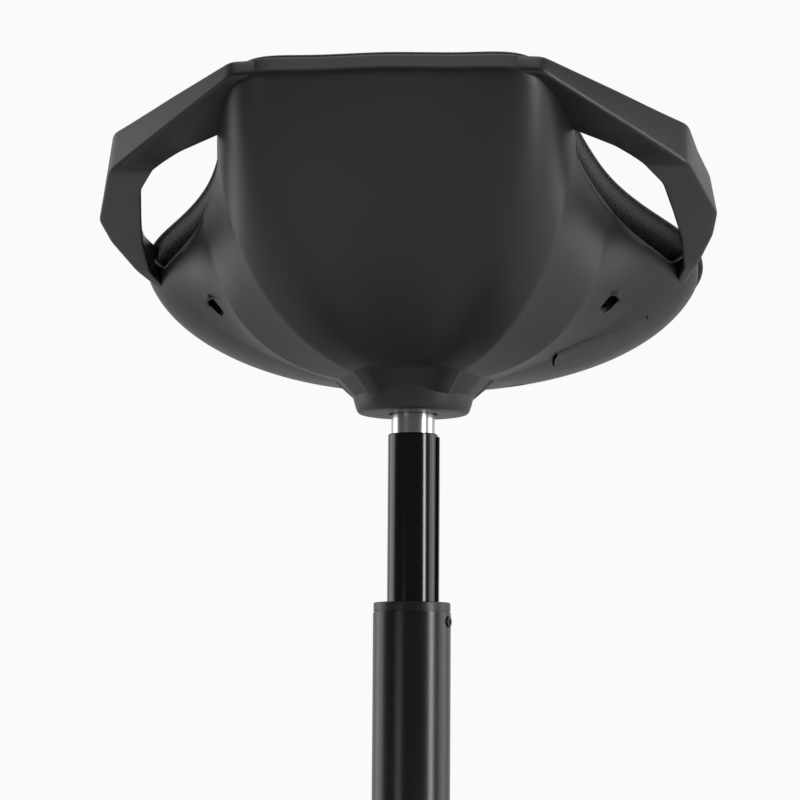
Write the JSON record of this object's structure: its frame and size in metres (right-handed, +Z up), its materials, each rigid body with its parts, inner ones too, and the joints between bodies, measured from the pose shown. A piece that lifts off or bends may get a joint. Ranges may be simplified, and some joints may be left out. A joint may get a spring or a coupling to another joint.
{
  "type": "wobble stool",
  "caption": "Perching wobble stool: tilted moulded seat with two side grips and a fabric cushion on a height-adjustable column that leans on a weighted round base.",
  "frame": {"origin": "on the floor at the middle of the base, on the column's axis", "axes": "+Z up along the column, +Y the way the sitter faces, +X to the sitter's right"},
  "size_m": [0.3932, 0.38, 0.7148],
  "materials": {
    "black_shell": "fine moulded texture, satin",
    "black_cover_plastic": "fine moulded texture",
    "board_plastic": "plain moulded",
    "foam": "open-cell foam",
    "black_fabric": "woven polyester",
    "screw_steel": "black oxide",
    "zinc_steel": "zinc plated",
    "ground_steel": "ground",
    "gloss_black": "gloss black",
    "guide_plastic": "acetal, plain",
    "satin_black_paint": "satin powder coat",
    "cast_iron": "painted casting",
    "rubber": "matte"
  },
  "bodies": {
    "base": {"base_weight": "cast_iron", "base_cover": "black_cover_plastic", "floor_ring": "rubber", "base_bolts": "screw_steel", "pivot_housing": "satin_black_paint", "return_buffer": "rubber", "pitch_pins": "ground_steel"},
    "gimbal": {"gimbal_ring": "satin_black_paint"},
    "column": {"column_foot": "satin_black_paint", "stand_tube": "satin_black_paint", "guide_bushing": "guide_plastic", "collar_screw": "screw_steel", "piston_rod": "ground_steel", "piston": "guide_plastic", "rod_clip": "zinc_steel", "pivot_cap": "black_cover_plastic", "roll_pins": "ground_steel"},
    "seat": {"seat_shell": "black_shell", "seat_board": "board_plastic", "cushion_foam": "foam", "cushion_cover": "black_fabric", "board_screws": "screw_steel", "plate_screws": "screw_steel", "mechanism_plate": "zinc_steel", "taper_socket": "zinc_steel", "gas_spring_tube": "ground_steel", "guide_sleeve": "gloss_black", "spring_gland": "guide_plastic", "lever_bracket": "zinc_steel", "lever_pin": "ground_steel"},
    "lever": {"lever_arm": "zinc_steel", "height_paddle": "black_shell"},
    "valve": {"release_pin": "ground_steel"}
  },
  "joints": [
    {"name": "wobble_pitch", "type": "hinge", "parent": "base", "child": "gimbal", "pos_m": [0, 0, 0.046], "axis": [1, 0, 0], "range_deg": [-8, 8], "stiffness_Nm_per_rad": 160, "deforming": ["return_buffer"]},
    {"name": "wobble_roll", "type": "hinge", "parent": "gimbal", "child": "column", "pos_m": [0, 0, 0.046], "axis": [0, 1, 0], "range_deg": [-8, 8], "stiffness_Nm_per_rad": 160},
    {"name": "height_slide", "type": "slide", "parent": "column", "child": "seat", "axis": [0, 0, 1], "range_m": [-0.1, 0.1]},
    {"name": "paddle_pivot", "type": "hinge", "parent": "seat", "child": "lever", "pos_m": [0.03521, 0.00749, 0.58], "axis": [0.2079, -0.9781, 0], "range_deg": [0, 4.5], "stiffness_Nm_per_rad": 4, "springref_deg": -6.88},
    {"name": "valve_travel", "type": "slide", "parent": "seat", "child": "valve", "axis": [0, 0, -1], "range_m": [0, 0.0032]}
  ],
  "couplings": [
    {"joint": "valve_travel", "follows": "paddle_pivot", "m_per_rad": 0.04}
  ]
}
